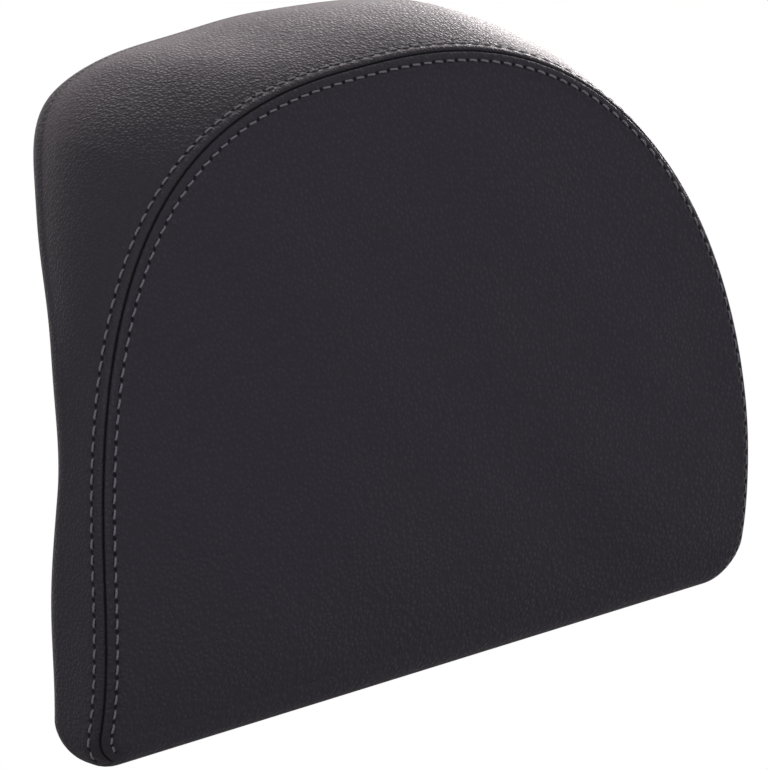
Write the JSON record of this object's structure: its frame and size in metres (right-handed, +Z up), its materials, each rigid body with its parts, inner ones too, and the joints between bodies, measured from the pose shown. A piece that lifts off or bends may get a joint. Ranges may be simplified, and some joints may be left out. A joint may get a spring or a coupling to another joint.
{
  "type": "chair headrest attachment",
  "caption": "Arched leather-covered headrest pad for an office chair, with a hinge that tilts it and a rail that sets its height, on a bolt-on plate.",
  "frame": {"origin": "centre of the mounting holes, on the rear face of the mounting plate", "axes": "+Z up, +Y rearwards, out of the mounting plate's rear face, and +X across the pad, to the sitter's left"},
  "size_m": [0.289, 0.1117, 0.2216],
  "materials": {
    "front_leather": "pebbled, low sheen",
    "band_leather": "pebbled, low sheen",
    "tape": "woven",
    "thread": "twisted polyester",
    "soft_foam": "open cell",
    "firm_foam": "open cell",
    "plywood": "raw birch plywood",
    "zinc_steel": "zinc plated",
    "cover_plastic": "fine texture",
    "black_screw": "black oxide",
    "bracket_paint": "satin powder coat",
    "nylon": "satin",
    "carriage_plastic": "glass filled, matt",
    "friction_brass": "ground",
    "rail_steel": "brushed lengthways",
    "spacer_metal": "sawn and tumbled"
  },
  "bodies": {
    "mount": {"mounting_plate": "bracket_paint", "rail": "rail_steel", "rail_spacer": "spacer_metal", "rail_screws": "zinc_steel", "rail_cap": "carriage_plastic"},
    "carriage": {"carriage": "carriage_plastic", "glide_liners": "nylon", "preload_screws": "black_screw", "hinge_pin": "zinc_steel", "friction_washers": "friction_brass", "lock_nut": "zinc_steel"},
    "pad": {"front_panel": "front_leather", "side_band": "band_leather", "seam_tape": "tape", "front_stitching": "thread", "band_stitching": "thread", "comfort_foam": "soft_foam", "core_foam": "firm_foam", "carrier_shell": "plywood", "tee_nuts": "zinc_steel", "staples": "zinc_steel", "rear_cover": "cover_plastic", "cover_screws": "black_screw", "hinge_bracket": "bracket_paint", "bracket_screws": "zinc_steel", "hinge_bushes": "nylon"}
  },
  "joints": [
    {"name": "height_slide", "type": "slide", "parent": "mount", "child": "carriage", "axis": [0, 0, 1], "range_m": [0, 0.032]},
    {"name": "tilt", "type": "hinge", "parent": "carriage", "child": "pad", "pos_m": [0, -0.035, 0.035], "axis": [1, 0, 0], "range_deg": [-15, 25]}
  ]
}
